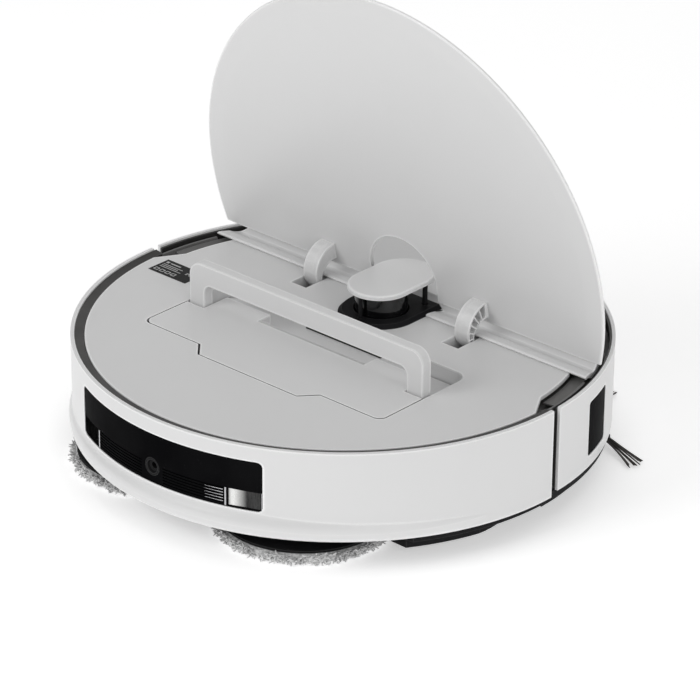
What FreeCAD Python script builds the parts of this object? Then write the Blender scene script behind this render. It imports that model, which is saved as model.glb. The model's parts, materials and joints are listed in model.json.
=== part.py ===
import FreeCAD, Part
import math
import os

import Sketcher
from FreeCAD import Placement, Rotation, Vector

# Robot vacuum and mop. Millimetres. The origin is on the floor below the centre of the
# round body, +X is the robot's right, +Y its front and +Z is up. The lid stands open.

doc = FreeCAD.newDocument("robot_vacuum_mop")
sheet = doc.addObject("Spreadsheet::Sheet", "dims")

SIZES = {
    # round body
    "body_radius": 175.0,
    "rim_top": 80.0,
    "wall_bottom": 19.5,
    "wall_thick": 2.5,
    "belly": 9.0,
    "floor_thick": 2.5,
    "floor_radius": 160.0,
    "skirt_radius": 170.7,
    "skirt_bottom": 14.0,
    "bulge_radius": 166.0,
    "bulge_bottom": 8.0,
    "shell_end": 1.0,
    "flare_radius": 173.7,
    "flare_shift": 5.0,
    "flare_top": 36.5,
    # deck and covers
    "deck_top": 78.1,
    "deck_thick": 2.5,
    "deck_radius": 166.0,
    "deck_front_radius": 155.0,
    "deck_edge": 51.0,
    "strip_edge": 49.5,
    "strip_lip_top": 80.1,
    "strip_radius": 168.0,
    "cover_top": 81.2,
    # rear window
    "window_half": 77.3,
    "window_low": 35.6,
    "window_high": 69.7,
    "window_corner": 3.5,
    "contact_angle": 22.3,
    "contact_wide": 21.0,
    "contact_tall": 11.5,
    "contact_low": 36.9,
    "port_height": 46.3,
    "port_radius": 6.2,
    # lid and its arms
    "lid_radius": 168.9,
    "lid_low": 79.2,
    "lid_thick": 2.8,
    "lid_chord": 46.0,
    "lid_angle": 80.0,
    "notch_radius": 28.5,
    "notch_centre": 34.8,
    "pivot_front": 56.7,
    "pivot_height": 73.6,
    "hinge_pin": 1.4,
    "arm_place": 66.0,
    "arm_wide": 12.0,
    "arm_bend": 17.5,
    # dust box and handle
    "plate_half": 102.0,
    "plate_front": 3.0,
    "plate_side_rear": 78.0,
    "plate_rear": 89.0,
    "plate_thick": 2.0,
    "handle_half": 100.8,
    "handle_leg": 13.0,
    "handle_deep": 7.6,
    "handle_place": 33.7,
    "handle_pivot": 73.5,
    "handle_top": 108.0,
    "handle_bar": 14.0,
    "channel_floor": 67.5,
    "bin_half": 84.0,
    "bin_low": 36.0,
    # lidar tower
    "lidar_place": 37.0,
    "cap_radius": 21.0,
    "cap_rear": 35.0,
    "cap_front": 58.5,
    "cap_low": 95.7,
    "cap_thick": 3.1,
    "base_radius": 27.0,
    "base_top": 80.8,
    "base_front": 66.0,
    "turret_radius": 17.5,
    # bumper
    "bumper_low": 21.9,
    "bumper_end": 7.0,
    "bumper_thick": 2.2,
    # cleaning head
    "mop_right": 58.5,
    "mop_left": 67.0,
    "mop_rear": 99.3,
    "pad_radius": 58.0,
    "pad_thick": 7.0,
    "bay_radius": 65.0,
    "bay_roof": 23.5,
    "bay_front": 93.0,
    "brush_place": 53.0,
    "brush_height": 22.6,
    "brush_radius": 20.4,
    "brush_half": 75.0,
    "side_place": 111.0,
    "side_front": 114.5,
    "side_reach": 62.9,
    # wheels
    "wheel_place": 117.0,
    "wheel_front": 5.0,
    "wheel_radius": 34.0,
    "wheel_wide": 22.0,
    "arm_rear": 28.0,
    "arm_height": 44.0,
    "caster_place": 128.0,
    "caster_trail": 10.0,
    "caster_radius": 13.0,
}


class Size:
    """A length from the sheet, with the expression that binds a property to it."""

    def __init__(self, number, text):
        self.number = number
        self.text = text

    def __add__(self, other):
        other = as_size(other)
        return Size(self.number + other.number, f"({self.text} + {other.text})")

    def __sub__(self, other):
        other = as_size(other)
        return Size(self.number - other.number, f"({self.text} - {other.text})")

    def __mul__(self, other):
        other = as_size(other)
        return Size(self.number * other.number, f"({self.text} * {other.text})")

    def __truediv__(self, other):
        other = as_size(other)
        return Size(self.number / other.number, f"({self.text} / {other.text})")

    def __neg__(self):
        return Size(-self.number, f"(0 - {self.text})")

    def __radd__(self, other):
        return as_size(other) + self

    def __rsub__(self, other):
        return as_size(other) - self

    def __rmul__(self, other):
        return as_size(other) * self


def as_size(value):
    if isinstance(value, Size):
        return value
    return Size(float(value), f"{value:.6f}")


def num(value):
    return as_size(value).number


class Dims:
    """Each driving dimension of the sheet as a Size."""


d = Dims()
for row, (alias, value) in enumerate(SIZES.items(), start=1):
    sheet.set(f"A{row}", alias)
    sheet.set(f"B{row}", str(value))
    sheet.setAlias(f"B{row}", alias)
    setattr(d, alias, Size(value, f"dims.{alias}"))
doc.recompute()

SUBPARTS = {}
UPRIGHT = Rotation()
ALONG_X = Rotation(Vector(0, 1, 0), 90)
TO_REAR = Rotation(Vector(1, 0, 0), 90)


def bind(obj, name, size):
    obj.setExpression(name, as_size(size).text)


def place(obj, at, turn=UPRIGHT):
    obj.Placement = Placement(Vector(*[num(c) for c in at]), turn)
    for axis, value in zip("xyz", at):
        bind(obj, f"Placement.Base.{axis}", value)
    return obj


def turned(obj, turn, about):
    """Turn an object, as placed, around a point. Its place is then fixed, not bound."""
    centre = Vector(*[num(c) for c in about])
    swing = Placement(centre - turn.multVec(centre), turn)
    obj.Placement = swing.multiply(obj.Placement)
    for axis in "xyz":
        obj.setExpression(f"Placement.Base.{axis}", None)
    return obj


def subpart(label, obj):
    obj.Label = label
    SUBPARTS[label] = obj
    return obj


def cylinder(radius, length, at, turn=UPRIGHT):
    obj = doc.addObject("Part::Cylinder", "cylinder")
    bind(obj, "Radius", radius)
    bind(obj, "Height", length)
    return place(obj, at, turn)


def cone(low_radius, high_radius, length, at, turn=UPRIGHT):
    obj = doc.addObject("Part::Cone", "cone")
    bind(obj, "Radius1", low_radius)
    bind(obj, "Radius2", high_radius)
    bind(obj, "Height", length)
    return place(obj, at, turn)


def box(low, high):
    """A box between two corners."""
    obj = doc.addObject("Part::Box", "box")
    for name, a, b in zip(("Length", "Width", "Height"), low, high):
        bind(obj, name, b - a)
    return place(obj, low)


def fuse(*shapes):
    if len(shapes) == 1:
        return shapes[0]
    obj = doc.addObject("Part::MultiFuse", "fuse")
    obj.Shapes = list(shapes)
    return obj


def cut(base, *tools):
    obj = doc.addObject("Part::Cut", "cut")
    obj.Base = base
    obj.Tool = fuse(*tools)
    return obj


def common(first, second):
    obj = doc.addObject("Part::Common", "common")
    obj.Base = first
    obj.Tool = second
    return obj


def group(*shapes):
    """Separate solids that share one node."""
    obj = doc.addObject("Part::Compound", "group")
    obj.Links = list(shapes)
    return obj


def tube(outer, inner, length, at, turn=UPRIGHT):
    return cut(cylinder(outer, length, at, turn), cylinder(inner, length, at, turn))


def new_body(at=(0, 0, 0), turn=UPRIGHT):
    body = doc.addObject("PartDesign::Body", "body")
    place(body, at, turn)
    return body


def arc_centre(start, end, radius, left):
    """Centre of the short arc from start to end whose centre is on the given side."""
    chord = Vector(end[0] - start[0], end[1] - start[1], 0)
    middle = Vector((start[0] + end[0]) / 2, (start[1] + end[1]) / 2, 0)
    rise = math.sqrt(max(radius**2 - (chord.Length / 2) ** 2, 0))
    across = Vector(-chord.y, chord.x, 0).normalize()
    return middle + across * (rise if left else -rise)


def add_outline(body, plane, corners):
    """A closed sketch. A corner is (a, b), or (a, b, radius, side) where an arc ends."""
    sketch = body.newObject("Sketcher::SketchObject", "outline")
    base = [f for f in body.Origin.OriginFeatures if f.Role == plane][0]
    sketch.AttachmentSupport = [(base, "")]
    sketch.MapMode = "FlatFace"
    points = [Vector(num(c[0]), num(c[1]), 0) for c in corners]
    count = len(corners)
    ends = []
    for i, corner in enumerate(corners):
        start = points[i - 1]
        end = points[i]
        if len(corner) == 2:
            sketch.addGeometry(Part.LineSegment(start, end))
            ends.append((1, 2))
            continue
        left = corner[3] == "left"
        radius = num(corner[2])
        centre = arc_centre(start, end, radius, left)
        circle = Part.Circle(centre, Vector(0, 0, 1), radius)
        angles = [math.atan2(p.y - centre.y, p.x - centre.x) for p in (start, end)]
        if left:
            sketch.addGeometry(Part.ArcOfCircle(circle, angles[0], angles[1]))
            ends.append((1, 2))
        else:
            sketch.addGeometry(Part.ArcOfCircle(circle, angles[1], angles[0]))
            ends.append((2, 1))
    for i in range(count):
        after = (i + 1) % count
        joint = Sketcher.Constraint("Coincident", i, ends[i][1], after, ends[after][0])
        sketch.addConstraint(joint)
    for i, corner in enumerate(corners):
        for kind, value in zip(("DistanceX", "DistanceY"), corner[:2]):
            where = Sketcher.Constraint(kind, -1, 1, i, ends[i][1], num(value))
            bind(sketch, f"Constraints[{sketch.addConstraint(where)}]", value)
        if len(corner) == 4:
            bend = Sketcher.Constraint("Radius", i, num(corner[2]))
            bind(sketch, f"Constraints[{sketch.addConstraint(bend)}]", corner[2])
    return sketch


def padded(plane, corners, length, at=(0, 0, 0), turn=UPRIGHT):
    """A body made by padding an outline."""
    body = new_body(at, turn)
    pad = body.newObject("PartDesign::Pad", "pad")
    pad.Profile = add_outline(body, plane, corners)
    bind(pad, "Length", length)
    return body


def revolved(corners, at=(0, 0, 0), turn=UPRIGHT):
    """A body of revolution about its own Z axis, from an outline of (radius, height)."""
    body = new_body(at, turn)
    sketch = add_outline(body, "XZ_Plane", corners)
    spin = body.newObject("PartDesign::Revolution", "revolution")
    spin.Profile = sketch
    spin.ReferenceAxis = (sketch, ["V_Axis"])
    spin.Angle = 360
    return body


def rounded_box(low, high, corner):
    """A box with its four upright edges rounded."""
    x0, y0, z0 = low
    x1, y1, z1 = high
    corners = [
        (x0 + corner, y0),
        (x1 - corner, y0),
        (x1, y0 + corner, corner, "left"),
        (x1, y1 - corner),
        (x1 - corner, y1, corner, "left"),
        (x0 + corner, y1),
        (x0, y1 - corner, corner, "left"),
        (x0, y0 + corner),
    ]
    closing = (x0 + corner, y0, corner, "left")
    return padded("XY_Plane", corners[1:] + [closing], z1 - z0, (0, 0, z0))


def stadium(radius, rear, front, low, thick):
    """An upright slab with two round ends on the centre line."""
    corners = [
        (radius, rear),
        (radius, front),
        (0, front + radius, radius, "left"),
        (-radius, front, radius, "left"),
        (-radius, rear),
        (0, rear - radius, radius, "left"),
    ]
    closing = (radius, rear, radius, "left")
    return padded("XY_Plane", corners[1:] + [closing], thick, (0, 0, low))


def half_space(front_of, low=-10, high=400):
    """A large box in front of a plane across the robot."""
    return box((-300, front_of, low), (300, 300, high))


def behind(rear_of, low=-10, high=400):
    """A large box behind a plane across the robot."""
    return box((-300, -300, low), (300, rear_of, high))


def side_box(side, low, high):
    """A box given for the right side, or its mirror image."""
    x0, x1 = (low[0], high[0]) if side > 0 else (-high[0], -low[0])
    return box((x0, low[1], low[2]), (x1, high[1], high[2]))


def deck_hole_outline(grow):
    """Plan of the dust box, grown outward by a clearance."""
    half = d.plate_half + grow
    front = d.plate_front + grow
    side_rear = -d.plate_side_rear - grow
    rear = -d.plate_rear - grow
    soft = as_size(6)
    round_front = as_size(9)
    step_out = as_size(52) + grow
    step_in = as_size(42) + grow
    right = [
        (step_in, rear),
        (step_out, side_rear),
        (half - soft, side_rear),
        (half, side_rear + soft, soft, "left"),
        (half, front - round_front),
        (half - round_front, front, round_front, "left"),
    ]
    left = [
        (-half + round_front, front),
        (-half, front - round_front, round_front, "left"),
        (-half, side_rear + soft),
        (-half + soft, side_rear, soft, "left"),
        (-step_out, side_rear),
        (-step_in, rear),
    ]
    return right + left


# ---- round body -----------------------------------------------------------------------


def outer_wall(inset):
    """The solid inside the side wall, with the flared foot around the rear."""
    drum = cylinder(
        d.body_radius - inset,
        d.rim_top - d.wall_bottom,
        (0, 0, d.wall_bottom),
    )
    out = d.flare_radius - inset
    low = d.wall_bottom
    band = revolved(
        [
            (150, low),
            (out - 2.2, low),
            (out - 0.6, low + 1.8, 2.4, "left"),
            (out, low + 6, 40, "left"),
            (out - 1.7, d.flare_top - 5.5, 9.75, "left"),
            (out - 3.4, d.flare_top, 9.75, "right"),
            (150, d.flare_top),
        ],
        at=(0, -d.flare_shift, 0),
    )
    return fuse(drum, band)


def window_block(grow):
    """A block through the rear wall where the dark window sits."""
    half = d.window_half + grow
    low = d.window_low - grow
    high = d.window_high + grow
    soft = d.window_corner
    corners = [
        (half - soft, low),
        (half, low + soft, soft, "left"),
        (half, high - soft),
        (half - soft, high, soft, "left"),
        (-half + soft, high),
        (-half, high - soft, soft, "left"),
        (-half, low + soft),
        (-half + soft, low, soft, "left"),
    ]
    return padded("XZ_Plane", corners, 70, (0, -120, 0))


def make_rear_shell():
    inner = d.body_radius - d.wall_thick
    hollow = cylinder(inner, 100, (0, 0, 0))
    shell = cut(outer_wall(0), hollow, half_space(d.shell_end), window_block(0))
    subpart("rear_shell", shell)


def contact_block(side, grow, inset):
    """A charging contact with a flat face, or the pocket that it sits in."""
    turn = Rotation(Vector(0, 0, 1), side * SIZES["contact_angle"])
    half = d.contact_wide / 2 + grow
    low = d.contact_low - grow
    high = d.contact_low + d.contact_tall + grow
    face = inset - d.body_radius
    back = 3.9 + grow - d.body_radius
    corners = [(face, low), (back, low), (back, high), (face, high)]
    at = turn.multVec(Vector(-num(half), 0, 0))
    return padded("YZ_Plane", corners, half * 2, (at.x, at.y, 0), turn)


VENT_ROWS = 6


def make_rear_window():
    glass = cut(
        common(outer_wall(0.5), window_block(-0.12)),
        cylinder(d.body_radius - 5.5, 100, (0, 0, 0)),
    )
    tools = [contact_block(side, 0.15, -12) for side in (1, -1)]
    tools.append(cylinder(d.port_radius + 0.1, 30, (0, -160, d.port_height), TO_REAR))
    for i in range(VENT_ROWS):
        low = d.contact_low + 0.5 + 2 * i
        ring = tube(d.body_radius + 6, d.body_radius - 1.6, 1.0, (0, 0, low))
        for side in (1, -1):
            reach = side_box(side, (9, -182, low - 1), (54.5, -150, low + 3))
            tools.append(common(ring, reach))
    subpart("rear_window", cut(glass, *tools))
    contacts = [contact_block(side, 0, 1.1) for side in (1, -1)]
    subpart("charge_contacts", group(*contacts))


def make_refill_port():
    height = d.port_height
    blank = cylinder(d.port_radius, 30, (0, -160.5, height), TO_REAR)
    ring = common(outer_wall(0.7), blank)
    mouth = (0, -172.1, height)
    dish = cone(d.port_radius - 2.4, d.port_radius - 0.4, 6, mouth, TO_REAR)
    bore = cylinder(2.4, 30, (0, -155, height), TO_REAR)
    subpart("refill_port", cut(ring, dish, bore))


def make_gutters():
    top = d.deck_top - d.deck_thick
    outer = d.body_radius - d.wall_thick - 0.1
    rear = revolved(
        [
            (d.deck_radius - 6, top - 3.2),
            (outer, top - 3.2),
            (outer, top + 3.4),
            (d.deck_radius + 0.5, top + 2.1),
            (d.deck_radius + 0.5, top - 0.1),
            (d.deck_radius - 6, top - 0.1),
        ]
    )
    subpart("rear_gutter", cut(rear, half_space(2.9)))
    inner = d.deck_front_radius - 5
    rim = d.strip_radius
    front = revolved(
        [
            (inner, top - 9.6),
            (rim, top - 9.6),
            (rim, top - 2.2),
            (rim - 3.6, top - 2.4),
            (d.deck_front_radius + 3, top - 4.8),
            (inner, top - 4.8),
        ]
    )
    lip_outline = [
        (rim - 2.6, top - 3),
        (rim, top - 3),
        (rim, top + 1.4),
        (rim - 1.2, top + 1.4),
    ]
    lip = cut(revolved(lip_outline), half_space(d.strip_edge - 1))
    subpart("front_gutter", cut(fuse(front, lip), behind(3.0)))


ARM_GAP = 0.7


def hinge_slot(side, grow, low, high):
    """The upright slot that a hinge arm swings through."""
    half = d.arm_wide / 2 + grow
    x0 = d.arm_place * side - half
    x1 = d.arm_place * side + half
    return box((x0, 29.6 - grow, low), (x1, d.deck_edge + 4, high))


def deck_outline():
    wide = math.sqrt(SIZES["deck_radius"] ** 2 - 6**2)
    waist = math.sqrt(SIZES["deck_front_radius"] ** 2 - 13**2)
    edge = math.sqrt(SIZES["deck_front_radius"] ** 2 - SIZES["deck_edge"] ** 2)
    return [
        (waist, 13),
        (edge, d.deck_edge, d.deck_front_radius, "left"),
        (-edge, d.deck_edge),
        (-waist, 13, d.deck_front_radius, "left"),
        (-wide, -6),
        (0, -d.deck_radius, d.deck_radius, "left"),
        (wide, -6, d.deck_radius, "left"),
    ]


def make_deck():
    low = d.deck_top - d.deck_thick
    plate = padded("XY_Plane", deck_outline(), d.deck_thick, (0, 0, low))
    hole = padded("XY_Plane", deck_hole_outline(0.9), 30, (0, 0, low - 14))
    collars = []
    for side in (1, -1):
        half = d.arm_wide / 2 + 2.2
        x0 = d.arm_place * side - half
        x1 = d.arm_place * side + half
        collars.append(box((x0, 28.0, low - 9), (x1, d.deck_edge, low + 0.5)))
    well = padded("XY_Plane", deck_hole_outline(2.2), 11, (0, 0, low - 10.6))
    collars.append(cut(well, behind(-56)))
    slots = [hinge_slot(side, ARM_GAP, 40, 90) for side in (1, -1)]
    lidar = stadium(d.base_radius - 2.2, d.notch_centre, 80, 40, 60)
    subpart("deck", cut(fuse(plate, *collars), hole, lidar, *slots))


def strip_profile():
    """Side view of the front cover: lip, shallow valley and level top."""
    lip = d.strip_lip_top
    return [
        (d.strip_edge, d.deck_top + 0.8),
        (d.strip_edge + 0.9, d.deck_top + 0.8),
        (d.strip_edge + 0.9, d.deck_top + 0.02),
        (d.strip_edge + 3, d.deck_top + 0.02),
        (60, d.deck_top - 3.6),
        (160, d.deck_top - 3.6),
        (176, d.deck_top - 3.6),
        (176, d.cover_top),
        (74.5, d.cover_top),
        (66, lip - 3.2, 14, "right"),
        (58.5, lip - 1.1, 20, "right"),
        (d.strip_edge + 1.2, lip, 60, "left"),
        (d.strip_edge, lip - 0.4),
    ]


BUTTON_ROW = 118
BUTTONS = {"power_button": (-14, 9.0), "home_button": (14, 9.0)}


def make_front_cover():
    ridge = padded("YZ_Plane", strip_profile(), 360, (-180, 0, 0))
    disc = revolved(
        [
            (0, 60),
            (d.strip_radius, 60),
            (d.strip_radius, d.cover_top - 1.2),
            (d.strip_radius - 1.4, d.cover_top, 1.6, "left"),
            (0, d.cover_top),
        ]
    )
    tools = [stadium(d.base_radius + 0.4, d.notch_centre, 40, 60, 40)]
    beside = d.base_radius + 0.4
    tools.append(box((-beside, 30, 60), (beside, d.base_front + 0.4, 100)))
    for side in (1, -1):
        half = d.arm_wide / 2 + ARM_GAP
        eye = (d.arm_place * side - half, d.pivot_front, d.pivot_height)
        tools.append(cylinder(d.hinge_pin + 1.3, half * 2, eye, ALONG_X))
    for place_x, radius in BUTTONS.values():
        tools.append(cylinder(radius + 0.35, 40, (place_x, BUTTON_ROW, 60)))
    subpart("front_cover", cut(common(ridge, disc), *tools))


def make_buttons():
    for name, (place_x, radius) in BUTTONS.items():
        cap = cylinder(radius, 7.6, (place_x, BUTTON_ROW, d.cover_top - 7.2))
        dish = cone(radius - 5, radius - 1.5, 0.6, (place_x, BUTTON_ROW, d.cover_top - 0.2))
        stem = cylinder(2.5, 8, (place_x, BUTTON_ROW, d.cover_top - 14.5))
        subpart(name, cut(fuse(cap, stem), dish))


def make_label():
    low = d.deck_top + 0.02
    subpart("top_label", box((-156, -21, low), (-122, -2, low + 0.25)))


# ---- chassis ---------------------------------------------------------------------------


def mop_x(side):
    """Place of a mop across the robot. The left one sits farther out."""
    return d.mop_right if side > 0 else -d.mop_left


def bay_disc(side, radius, low, high):
    return cylinder(radius, high - low, (mop_x(side), -d.mop_rear, low))


SCREWS = [(36, 147), (96, 96), (140, 62), (146, -40), (84, -20), (84, 24), (20, 84)]


def make_chassis_base():
    low = d.belly
    floor = cylinder(d.floor_radius, d.floor_thick, (0, 0, low))
    inside = d.floor_radius - 2.5
    skirt_tall = d.wall_bottom - d.skirt_bottom - 0.2
    rear_skirt = cut(
        tube(d.skirt_radius, inside, skirt_tall, (0, 0, d.skirt_bottom)),
        half_space(d.shell_end),
    )
    front_skirt = cut(tube(167.3, inside, 11, (0, 0, low + 1)), behind(d.shell_end))
    wall = tube(d.floor_radius, inside, 12, (0, 0, low))
    bulge_tall = d.skirt_bottom + 1 - d.bulge_bottom
    bulge = cut(
        tube(d.bulge_radius, inside - 1.5, bulge_tall, (0, 0, d.bulge_bottom)),
        half_space(-48),
    )
    roof = common(
        fuse(
            box((-132, -176, d.bay_roof), (132, -d.bay_front + 6, d.bay_roof + 2)),
            *[bay_disc(side, d.bay_radius + 2, d.bay_roof, d.bay_roof + 2) for side in (1, -1)],
        ),
        cylinder(d.body_radius - d.wall_thick - 0.5, 80, (0, 0, 0)),
    )
    bay_walls = cut(
        fuse(*[bay_disc(side, d.bay_radius + 2, low, d.bay_roof + 1) for side in (1, -1)]),
        behind(-d.bay_front),
    )
    solid = fuse(floor, rear_skirt, front_skirt, wall, bulge, bay_walls)
    bay_cuts = [bay_disc(side, d.bay_radius, 0, d.bay_roof) for side in (1, -1)]
    bay_cuts.append(behind(-d.bay_front, 0, d.bay_roof))
    body = fuse(cut(solid, *bay_cuts), roof)
    tools = []
    for side in (1, -1):
        tools.append(cylinder(13, 10, (mop_x(side), -d.mop_rear, d.bay_roof - 4)))
        tools.append(side_box(side, (91.5, -38, 0), (132, 48, 30)))
    tools.append(box((-80, 29.4, 0), (80, 76.6, 30)))
    tools.append(cylinder(25.5, 30, (0, d.caster_place, 0)))
    tools.append(cylinder(4.6, 30, (d.side_place, d.side_front, 0)))
    tools.append(rounded_box((-68, -22, 0), (68, 24, 30), as_size(6)))
    for x, y in SCREWS:
        for side in (1, -1):
            tools.append(cylinder(2.1, 10, (x * side, y, low - 1)))
            tools.append(cylinder(3.8, 2.2, (x * side, y, low - 1)))
    for x, y, turn in CLIFF_EYES:
        tools.append(cliff_eye(x, y, turn, 0.2, 4))
    subpart("chassis_base", cut(body, *tools))


CLIFF_EYES = [(60, 138, -23), (-60, 138, 23), (147, 30, -78), (-147, 30, 78)]


def cliff_eye(x, y, turn, grow, thick):
    half_wide = 9 + grow
    half_deep = 4.5 + grow
    corners = [
        (half_wide, -half_deep),
        (half_wide, half_deep),
        (-half_wide, half_deep),
        (-half_wide, -half_deep),
    ]
    spot = (x, y, d.belly - 0.4)
    return padded("XY_Plane", corners, thick, spot, Rotation(Vector(0, 0, 1), turn))


def make_chassis_details():
    eyes = [cliff_eye(x, y, turn, 0, 2.6) for x, y, turn in CLIFF_EYES]
    subpart("cliff_sensors", group(*eyes))
    screws = []
    for x, y in SCREWS:
        for side in (1, -1):
            head = cylinder(3.5, 1.1, (x * side, y, d.belly + 0.1))
            cross = box(
                (x * side - 1.8, y - 0.35, d.belly - 0.2),
                (x * side + 1.8, y + 0.35, d.belly + 0.8),
            )
            shank = cylinder(2.0, 7, (x * side, y, d.belly + 1.1))
            screws.append(cut(fuse(head, shank), cross))
    subpart("chassis_screws", group(*screws))
    door = rounded_box((-67.6, -21.6, d.belly), (67.6, 23.6, d.belly + 2.2), as_size(5.6))
    grip = box((-12, 14, d.belly - 1), (12, 19, d.belly + 1))
    subpart("battery_door", cut(door, grip))
    cells = [cylinder(9.2, 130, (-65, -11.5 + 25 * i, 22), ALONG_X) for i in range(2)]
    pack = box((-66, -21, 12), (66, 23, 33))
    subpart("battery_pack", fuse(pack, *cells))
    board = box((-75, 84, 58), (75, 108, 59.6))
    chips = [box((-60 + 30 * i, 88, 59.6), (-44 + 30 * i, 102, 62)) for i in range(5)]
    subpart("main_board", fuse(board, *chips))


def make_water_parts():
    bound = cylinder(d.deck_radius - 1, 200, (0, 0, 0))
    tank = common(rounded_box((-128, -158, 53), (6, -94, 72), as_size(8)), bound)
    cap = cylinder(9, 2.4, (-60, -120, 72))
    subpart("water_tank", fuse(tank, cap))
    pump = box((100, -80, 30), (126, -56, 48))
    spout = cylinder(3, 12, (113, -68, 48))
    subpart("water_pump", fuse(pump, spout))


FAN_SPOT = (58, -118)
FAN_BLADES = 9


def make_fan():
    x, y = FAN_SPOT
    shell = cut(
        cylinder(31, 19, (x, y, 53)),
        cylinder(27, 15, (x, y, 55)),
        cylinder(11, 6, (x, y, 68)),
    )
    post = cylinder(3, 9, (x, y, 54.9))
    subpart("fan_housing", fuse(shell, post))
    hub = cylinder(8, 12, (x, y, 57))
    disc = cylinder(25, 1.6, (x, y, 57))
    blades = []
    for i in range(FAN_BLADES):
        blade = box((x + 6, y - 0.7, 58), (x + 24.5, y + 0.7, 66))
        spin = Rotation(Vector(0, 0, 1), 360 / FAN_BLADES * i)
        blades.append(turned(blade, spin, (x, y, 0)))
    bore = cylinder(3.05, 30, (x, y, 50))
    subpart("fan_impeller", cut(fuse(hub, disc, *blades), bore))


# ---- lid --------------------------------------------------------------------------------


def make_lid():
    low = d.lid_low
    high = d.lid_low + d.lid_thick
    disc = revolved(
        [
            (0, low),
            (d.lid_radius - 14, low),
            (d.lid_radius - 0.7, low + 0.7),
            (d.lid_radius, low + 1.3),
            (d.lid_radius, high - 0.9),
            (d.lid_radius - 0.9, high, 0.95, "left"),
            (0, high),
        ]
    )
    notch = stadium(d.notch_radius, d.notch_centre, 80, 60, 40)
    blank = cut(disc, half_space(d.lid_chord), notch)
    about = (0, d.pivot_front, d.pivot_height)
    swing = Rotation(Vector(1, 0, 0), -SIZES["lid_angle"])
    subpart("lid", turned(blank, swing, about))


def under_lid(rise):
    """Point of the open lid's inner face at a height above the pivot."""
    lean = math.radians(SIZES["lid_angle"])
    reach = (d.lid_low - d.pivot_height - rise * math.cos(lean)) / math.sin(lean)
    return (d.pivot_front + reach, d.pivot_height + rise)


def arm_outline():
    """Side view of a hinge arm: a gooseneck from the pivot around the lip to the lid."""
    front = d.pivot_front
    height = d.pivot_height
    bend = d.arm_bend
    eye = d.hinge_pin + 1
    return [
        under_lid(26.5),
        (front - 16.7, height + 9.4, bend, "left"),
        (front - 13.5, height - 0.6, bend, "left"),
        (front - 8.5, height - 4.4, 9, "left"),
        (front, height - eye),
        (front + eye, height, eye, "left"),
        (front, height + eye, eye, "left"),
        (front - 10.2, height + 0.2),
        (front - 10.9, height + 7.9, 13, "right"),
        (*under_lid(15.6), 13, "right"),
    ]


def make_lid_arms():
    half = d.arm_wide / 2
    arms = []
    for side in (1, -1):
        x0 = d.arm_place * side - half
        arm = padded("YZ_Plane", arm_outline(), d.arm_wide, (x0, 0, 0))
        middle = (x0 - 5, d.pivot_front, d.pivot_height)
        bore = cylinder(d.hinge_pin + 0.06, 40, middle, ALONG_X)
        outer_face = d.arm_place * side + half * side
        deep = 8
        begin = outer_face - deep if side > 0 else outer_face - 2
        bend_y = d.pivot_front + 0.8
        bend_z = d.pivot_height + 9.4
        web_y = d.pivot_front + 1.8
        web_z = d.pivot_height + 2.9
        crescent = cut(
            cylinder(d.arm_bend - 1.2, deep + 2, (begin, bend_y, bend_z), ALONG_X),
            cylinder(14.2, deep + 4, (begin - 1, web_y, web_z), ALONG_X),
            box((begin - 1, d.pivot_front - 0.6, 60), (begin + deep + 3, 120, 130)),
            box((begin - 1, 20, 40), (begin + deep + 3, 120, d.pivot_height + 2)),
        )
        ribs = []
        for i in range(7):
            rib = box(
                (begin - 1, d.pivot_front + 1, 75.6),
                (begin + deep + 3, d.pivot_front + 30, 76.6),
            )
            spin = Rotation(Vector(1, 0, 0), 98 + 15 * i)
            ribs.append(turned(rib, spin, (0, web_y, web_z)))
        cells = cut(crescent, *ribs)
        arms.append(cut(arm, bore, cells))
    subpart("lid_arms", group(*arms))


def make_hinge_pins():
    pins = []
    for side in (1, -1):
        x0 = d.arm_place * side - 9
        pins.append(cylinder(d.hinge_pin, 18, (x0, d.pivot_front, d.pivot_height), ALONG_X))
    subpart("hinge_pins", group(*pins))
    brackets = []
    for side in (1, -1):
        for edge in (-1, 1):
            mid = d.arm_place * side + 8.4 * edge
            plate = box(
                (mid - 1.3, d.pivot_front - 5, 49),
                (mid + 1.3, d.pivot_front + 5, d.deck_top - 3.7),
            )
            middle = (mid - 4, d.pivot_front, d.pivot_height)
            hole = cylinder(d.hinge_pin + 0.06, 8, middle, ALONG_X)
            brackets.append(cut(plate, hole))
    subpart("hinge_brackets", group(*brackets))


# ---- dust box and handle -----------------------------------------------------------------


def make_dust_box_plate():
    top = d.deck_top
    slab = padded("XY_Plane", deck_hole_outline(0), top - 64.5, (0, 0, 64.5))
    tray = box((-110, -24, 64), (110, 10, 65))
    hollow = box((-98, -72, 60), (98, -39.5, top - d.plate_thick))
    back = box((-41, -87, 60), (41, -71, top - d.plate_thick))
    middle = box((-85, -40, 60), (85, -15, top - 9.5))
    channel = box((-110, -16.8, d.channel_floor), (110, 10, top + 20))
    legs = []
    for side in (1, -1):
        inner = d.handle_half - d.handle_leg - 0.8
        low = (inner, -39, d.channel_floor)
        legs.append(side_box(side, low, (d.plate_half + 5, -6, top + 20)))
    scoop = padded(
        "YZ_Plane",
        [(-30, top + 0.3), (-15, top - 8.2), (-15, top + 5), (-30, top + 5)],
        92,
        (-48, 0, 0),
    )
    plate = cut(slab, tray, hollow, back, middle, channel, scoop, *legs)
    pin_bores = []
    for side in (1, -1):
        x0 = 85 if side > 0 else -103
        pin_bores.append(cylinder(2.5, 18, (x0, -d.handle_place, d.handle_pivot), ALONG_X))
    subpart("dust_box_plate", cut(plate, *pin_bores))


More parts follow.
